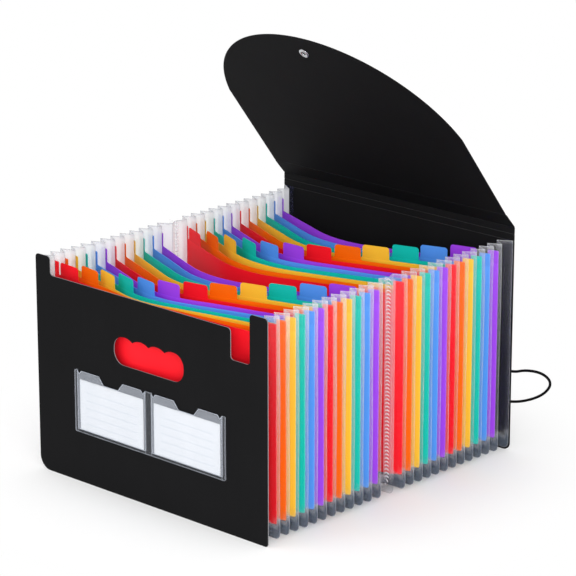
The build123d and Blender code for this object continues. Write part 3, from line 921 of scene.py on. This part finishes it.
class FILE_OT_elastic(bpy.types.Operator):
    """Braided elastic loop behind the back cover"""

    bl_idname = "file.elastic"
    bl_label = "Elastic loop"

    def route(self, d, up):
        """The loop's points: share of half the width, diameters out from the cover and up from the eyelet."""
        rows = np.array(
            [
                (0, 1.84, 0.52), (0.048, 2.0, 0.667), (0.133, 1.76, 1.2), (0.291, 1.36, 1.133),
                (0.558, 1.04, -0.4), (0.824, 1.0, -1.7), (1.0, 1.12, -1.579), (1.093, 1.2, 0.423),
                (1.21, 1.3, 1.103), (1.281, 1.36, -0.16), (1.302, 1.4, -2.289), (1.275, 1.38, -4.953),
                (1.223, 1.34, -7.527), (1.139, 1.26, -10.127), (1.016, 1.14, -12.664), (0.818, 1.0, -14.0),
                (0.57, 1.04, -12.667), (0.333, 1.28, -8.5), (0.176, 1.68, -4.0), (0.073, 2.0, -1.133),
                (0, 1.84, -0.52),
            ]
        )
        loop = np.stack([rows[:, 0] * HALF_WIDTH, BACK_OUTER + rows[:, 1] * d, up + rows[:, 2] * d], axis=1)
        low, _ = node_box("elastic_loop")
        first, last = loop[0].copy(), loop[-1].copy()
        first[1] = last[1] = low[1]
        return np.vstack([first, loop, last])

    def smooth_line(self, points):
        """The route as one smooth NURBS line, read back as points."""
        curve = bpy.data.curves.new("elastic_route", "CURVE")
        curve.dimensions = "3D"
        curve.resolution_u = 48
        spline = curve.splines.new("NURBS")
        spline.points.add(len(points) - 1)
        spline.points.foreach_set("co", np.column_stack([points * MM, np.ones(len(points))]).ravel())
        spline.order_u = 3
        spline.use_endpoint_u = True
        line = bpy.data.objects.new("elastic_route", curve)
        bpy.context.scene.collection.objects.link(line)
        bpy.context.view_layer.update()
        mesh = bpy.data.meshes.new_from_object(line.evaluated_get(bpy.context.evaluated_depsgraph_get()))
        found = np.array([v.co for v in mesh.vertices], float) / MM
        bpy.data.objects.remove(line)
        bpy.data.meshes.remove(mesh)
        return found

    def execute(self, context):
        fittings = context.scene.file_fittings
        d, step, sides, strands, twist, relief = fittings.elastic, 0.45, 16, 4, 2.4, 0.025
        line = self.smooth_line(self.route(d, fittings.elastic_up))
        whole = reach_of(line)[-1]
        at = np.linspace(0, whole, int(whole / step))
        path = places_at(line, at)
        way = unit(np.gradient(path, axis=0))
        side = np.cross(way, (0.0, 1.0, 0.0))
        flat = np.linalg.norm(side, axis=1) < 0.3
        side[flat] = np.cross(way[flat], (0.0, 0.0, 1.0))
        side = unit(side)
        other = np.cross(way, side)
        turn = np.arange(sides) / sides * math.tau
        round_, along = strands * turn[None], twist * at[:, None]
        radius = d / 2 * (1 - relief + relief * np.sin(round_ + along) * np.sin(round_ - along))
        ring = np.cos(turn)[None, :, None] * side[:, None] + np.sin(turn)[None, :, None] * other[:, None]
        points = path[:, None] + radius[..., None] * ring
        faces = grid_faces(len(path), sides, ring=True)
        corner = faces.reshape(-1)
        column = np.tile(np.array([0, 1, 1, 0]), len(faces)) + np.repeat(faces[:, 0] % sides, 4)
        uv = np.stack([at[corner // sides] * twist / math.tau, column / sides * strands], axis=1)
        caps = [list(range(sides))[::-1], [(len(path) - 1) * sides + k for k in range(sides)]]
        uv = np.vstack([uv, np.zeros((2 * sides, 2))])
        finish = elastic_finish(context.scene.file_colours.elastic)
        loop = make_piece(
            "elastic_loop_cord", points.reshape(-1, 3), [*faces, *caps], finish, corner_uv=uv
        )
        stand_in(loop, "back", "elastic_loop")
        return {"FINISHED"}


class FILE_OT_covers(bpy.types.Operator):
    """Black sheet of the covers, spine and flap"""

    bl_idname = "file.covers"
    bl_label = "Covers, spine and flap"

    def execute(self, context):
        colours = context.scene.file_colours
        black = black_sheet_finish(colours.sheet, colours.edge_highlight)
        for node in ("front_cover", "back_cover", "spine_lower", "spine_middle", "spine_upper", "flap"):
            dress(node, black)
        return {"FINISHED"}


class FILE_OT_creases(bpy.types.Operator):
    """Thin webs that join the black sheet across its creases"""

    bl_idname = "file.creases"
    bl_label = "Creases"

    def execute(self, context):
        fittings = context.scene.file_fittings
        black = bpy.data.materials["black_sheet"]
        joints = {j["name"]: j for j in frame["joints"]}
        names = ("crease_low", "crease_mid", "crease_high", "flap_hinge")
        leans = (0.0, 0.0, 0.0, fittings.spine_lean, fittings.flap_lean)
        for name, below, above in zip(names, leans, leans[1:]):
            self.web(name, joints[name], below, above, black)
        return {"FINISHED"}

    def web(self, name, joint, below, above, material):
        """A flat oval profile that bends at the crease, carried across the sheet."""
        root = np.array(joint["pos_m"]) / MM
        reach, half = 0.62, 0.09
        along = np.array([-1.0, -0.6, -0.25, 0.0, 0.25, 0.6, 1.0]) * reach
        lean = np.where(along < 0, below, above)
        up = np.stack([-np.sin(lean), np.cos(lean)], axis=1)
        out = np.stack([-np.cos(lean), -np.sin(lean)], axis=1)
        line = root[1:] + along[:, None] * up
        thin = half * np.array([0.9, 1, 1, 1, 1, 1, 0.9])[:, None]
        loop = np.vstack([line + thin * out, (line - thin * out)[::-1]])
        wide = node_box("spine_upper")[1][0] - 0.05
        span = np.linspace(-wide, wide, 3)
        points = np.concatenate([np.column_stack([np.full(len(loop), x), loop]) for x in span])
        ends = [list(range(len(loop)))[::-1], [2 * len(loop) + k for k in range(len(loop))]]
        piece = make_piece(name + "_web", points, [*grid_faces(3, len(loop), ring=True), *ends], material)
        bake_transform(piece)


class FILE_OT_bellows(bpy.types.Operator):
    """Clear pleated film of both bellows, with the strips welded to the covers"""

    bl_idname = "file.bellows"
    bl_label = "Bellows"

    def pleats(self, plan, numbers):
        """Key sections of some pleats: the valley before each fold, then the fold."""
        valley = plan.film.pitch / 2
        depth = plan.film.pleat_depth
        for n in numbers:
            yield (plan.fold(n) - valley, plan.pull(n), depth)
            yield (plan.fold(n), plan.pull(n), 0.0)

    def flange(self, plan, node, body, y, facing, material):
        """A strip round one cover with a row of weld dots near its outer edge."""
        film, (_, high) = plan.film, node_box(node)
        points, shape = flange_points(plan, film.flange, high[2], y)
        dots = []
        for inset, mark in DOT_ROWS:
            x, z = plan.section(np.array([inset]), high[2] - 1.5, [film.corner])
            spots, way = line_along(np.stack([x[0], z[0]], axis=1), film.dot_pitch)
            dots.append((*repeat(*weld_dot(), spots, way, y + facing * film.strip / 2, facing), mark))
        rim = np.repeat(np.array([0.1, 0.04, 0.03, 0.03, 0.03, 0.03, 0.08]), shape[1])
        strip = (*slab(points, shape, film.strip), np.tile(rim, 2))
        points, faces, haze = joined([strip, *dots])
        # Painted shade on the strip below the dividers.
        values = {"haze": haze, "smoke": plan.under(points[:, 2])}
        made = make_piece(node + "_film", points, faces, material, smooth=False, values=values)
        stand_in(made, body, node)

    def execute(self, context):
        film, sheets, colours = context.scene.file_film, context.scene.file_sheets, context.scene.file_colours
        plan = Plan(film, sheets)
        clear = film_finish("bellows_film", colours.film, colours)
        gap = SEAM_HIGH[1] + SEAM_CLEAR
        depth, last, strip = film.pleat_depth, film.pleats, FLANGE_SEAT
        seam_valley = -plan.fold(last) / 2
        keys = {
            "front": [
                (FRONT_INNER + strip, 0.0, 0.0),
                *self.pleats(plan, range(1, last + 1)),
                (-seam_valley, plan.seam_pull, depth),
                (-gap, plan.seam_pull, film.weld_inset),
            ],
            "rear": [
                (gap, plan.seam_pull, film.weld_inset),
                *self.pleats(plan, range(last + 1, plan.count + 1)),
                (BACK_INNER - film.end_gap / 2, 0.0, depth),
                (BACK_INNER - strip, 0.0, 0.0),
            ],
        }
        for side, body, anchor in (("front", "front", FRONT_INNER), ("rear", "back", BACK_INNER)):
            points, faces, values = bellows_points(plan, keys[side], context.scene.file_haze)
            piece = make_piece(side + "_bellows_film", points, faces, clear, smooth=False, values=values)
            stand_in(piece, body, side + "_bellows")
            flatten(piece, anchor)
        welded = film_finish("welded_film", colours.flange, colours)
        self.flange(plan, "front_flange", "front", FRONT_INNER + strip / 2, 1, welded)
        self.flange(plan, "rear_flange", "back", BACK_INNER - strip / 2, -1, welded)
        return {"FINISHED"}


class FILE_OT_seam(bpy.types.Operator):
    """Fin where the two bellows are welded together"""

    bl_idname = "file.seam"
    bl_label = "Centre seam"

    def execute(self, context):
        film, sheets, colours = context.scene.file_film, context.scene.file_sheets, context.scene.file_colours
        plan = Plan(film, sheets)
        weld, strip = film.weld_inset, 2.9
        band = [weld - strip - 0.4, weld - strip, weld, weld + strip, weld + strip + 0.4]
        inset = np.array([0, 0.5, 2.5, *band, film.pleat_depth])
        x, z = plan.section(inset, SEAM_HIGH[2], np.full(len(inset), film.corner), plan.seam_pull)
        fin = np.stack([x, np.zeros_like(x), z], axis=-1).reshape(-1, 3)
        fog = np.array([0.3, 0.16, 0.15, 0.15, 0.03, 0.03, 0.03, 0.15, 0.15])
        parts = [(*slab(fin, x.shape, film.strip), np.tile(np.repeat(fog, x.shape[1]), 2))]
        line = np.stack([x[5], z[5]], axis=1)
        spots, way = line_along(line, film.mark_pitch)
        for facing in (-1, 1):
            marks, faces = repeat(*weld_arch(), spots, way, facing * film.strip / 2, facing)
            parts.append((marks, faces, 1.0))
        points, faces, haze = joined(parts)
        finish = film_finish("seam_film", colours.film, colours)
        # Painted shade on the fin below the dividers, but not on the weld marks.
        values = {"haze": haze, "smoke": plan.under(points[:, 2]) * (haze < 0.9)}
        seam = make_piece("centre_seam_weld", points, faces, finish, smooth=False, values=values)
        stand_in(seam, "seam", "centre_seam")
        flatten(seam, 0.0)
        return {"FINISHED"}


class FILE_OT_dividers(bpy.types.Operator):
    """Coloured sheets with their tabs"""

    bl_idname = "file.dividers"
    bl_label = "Dividers"

    def execute(self, context):
        film, sheets, colours = context.scene.file_film, context.scene.file_sheets, context.scene.file_colours
        plan = Plan(film, sheets)
        edge = plan.tab_top - sheets.edge_drop
        finishes = [divider_finish(name, getattr(colours, name), edge) for name in COLOURS]
        for n in range(1, plan.count + 1):
            points, shape = sheet_points(plan, n)
            pick = (n - 1) % len(COLOURS)
            skin = slab(points, shape, sheets.thickness)
            sheet = make_piece(f"divider_sheet_{n:02d}", *skin, finishes[pick])
            sheet.data.set_sharp_from_angle(angle=EDGE_ANGLE)
            stand_in(sheet, f"sheet_{n:02d}", f"divider_{n:02d}")
            flatten(sheet, plan.end(n))
        return {"FINISHED"}


class FILE_OT_label(bpy.types.Operator):
    """Label pocket and its two cards"""

    bl_idname = "file.label"
    bl_label = "Label pocket"

    def execute(self, context):
        colours = context.scene.file_colours
        dress("label_holder", label_film_finish(colours.pocket))
        card = card_finish(colours.card, colours.rule)
        dress("label_card_left", card)
        dress("label_card_right", card)
        return {"FINISHED"}


class FILE_OT_fittings(bpy.types.Operator):
    """Rivet and button on the flap, eyelet and stop of the elastic"""

    bl_idname = "file.fittings"
    bl_label = "Fittings"

    def turn(self, name, profile, centre, axis, material, body, node, slot):
        """Makes one turned fitting that stands for its CAD node."""
        stand_in(make_piece(name, *turned(profile, centre, axis), material), body, node)

    def execute(self, context):
        fittings, colours = context.scene.file_fittings, context.scene.file_colours
        metal = metal_finish(colours.metal)
        black = button_finish(colours.button)
        hinge = next(j for j in frame["joints"] if j["name"] == "flap_hinge")
        lean, half = fittings.flap_lean, fittings.sheet / 2
        up = np.array((0.0, -math.sin(lean), math.cos(lean)))
        inward = np.array((0.0, -math.cos(lean), -math.sin(lean)))
        middle = np.array(hinge["pos_m"]) / MM + fittings.rivet_up * up
        rivet = [
            (2.2, -half), (2.2, half), *rolled(6.0, half + 0.12, 2.2, 0.78),
            (6.0, half), (3.0, half), (3.0, -half), (2.2, -half),
        ]
        self.turn("flap_rivet_ring", rivet, middle, inward, metal, "flap", "flap_rivet", "bright_metal")
        head = np.linspace(0, math.pi, 9)
        button = [
            (0.0, 0.0), (6.0, 0.0), (6.0, 0.75), (5.8, 1.0), (4.0, 1.0), (3.6, 1.4), (3.6, 3.6), (4.0, 4.0),
            *[(6.2 + 0.8 * math.sin(t), 4.8 - 0.8 * math.cos(t)) for t in head],
            (4.5, 6.05), (2.0, 6.4), (0.0, 6.5),
        ]
        back = middle - half * inward
        self.turn("flap_button_knob", button, back, -inward, black, "flap", "flap_button", "black_button")
        low, high = node_box("elastic_eyelet")
        spot = ((low[0] + high[0]) / 2, BACK_OUTER, (low[2] + high[2]) / 2)
        eyelet = [
            (3.2, -1.6), (3.2, 0.0), *rolled(6.5, 0.2, 3.2, 1.4), (6.5, 0.0), (3.95, 0.0), (3.95, -1.0),
            (5.6, -1.0), (6.0, -1.3), (5.6, -1.6), (3.2, -1.6),
        ]
        self.turn(
            "elastic_eyelet_ring", eyelet, spot, (0, 1, 0), metal, "back", "elastic_eyelet", "bright_metal"
        )
        dress("elastic_stop", black)
        return {"FINISHED"}


class FILE_PT_panel(bpy.types.Panel):
    """Lists the file's pieces and sizes"""

    bl_label = "Expanding file"
    bl_idname = "FILE_PT_panel"
    bl_space_type = "VIEW_3D"
    bl_region_type = "UI"
    bl_category = "Expanding file"

    def draw(self, context):
        for step in STEPS:
            self.layout.operator(step.bl_idname)
        for name in GROUPS:
            box = self.layout.box()
            group = getattr(context.scene, name)
            for key in group.__annotations__:
                box.prop(group, key)


GROUPS = {
    "file_film": FilmSizes,
    "file_haze": FilmHaze,
    "file_sheets": SheetSizes,
    "file_fittings": FittingSizes,
    "file_colours": FileColours,
    "file_studio": StudioSettings,
}
STEPS = (
    FILE_OT_stage,
    FILE_OT_elastic,
    FILE_OT_covers,
    FILE_OT_creases,
    FILE_OT_bellows,
    FILE_OT_seam,
    FILE_OT_dividers,
    FILE_OT_label,
    FILE_OT_fittings,
)


def register():
    for group in GROUPS.values():
        bpy.utils.register_class(group)
    for name, group in GROUPS.items():
        setattr(bpy.types.Scene, name, PointerProperty(type=group))
    for step in STEPS:
        bpy.utils.register_class(step)
    bpy.utils.register_class(FILE_PT_panel)


def unregister():
    bpy.utils.unregister_class(FILE_PT_panel)
    for step in reversed(STEPS):
        bpy.utils.unregister_class(step)
    for name, group in GROUPS.items():
        delattr(bpy.types.Scene, name)
        bpy.utils.unregister_class(group)


def main():
    register()
    bpy.ops.file.stage()
    bpy.ops.file.elastic()
    bpy.ops.file.covers()
    bpy.ops.file.creases()
    bpy.ops.file.bellows()
    bpy.ops.file.seam()
    bpy.ops.file.dividers()
    bpy.ops.file.label()
    bpy.ops.file.fittings()
    boxes = {"cad": cad_box, "visual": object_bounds()}
    {name: [list(corner) for corner in box] for name, box in boxes.items()}


if __name__ == "__main__":
    main()
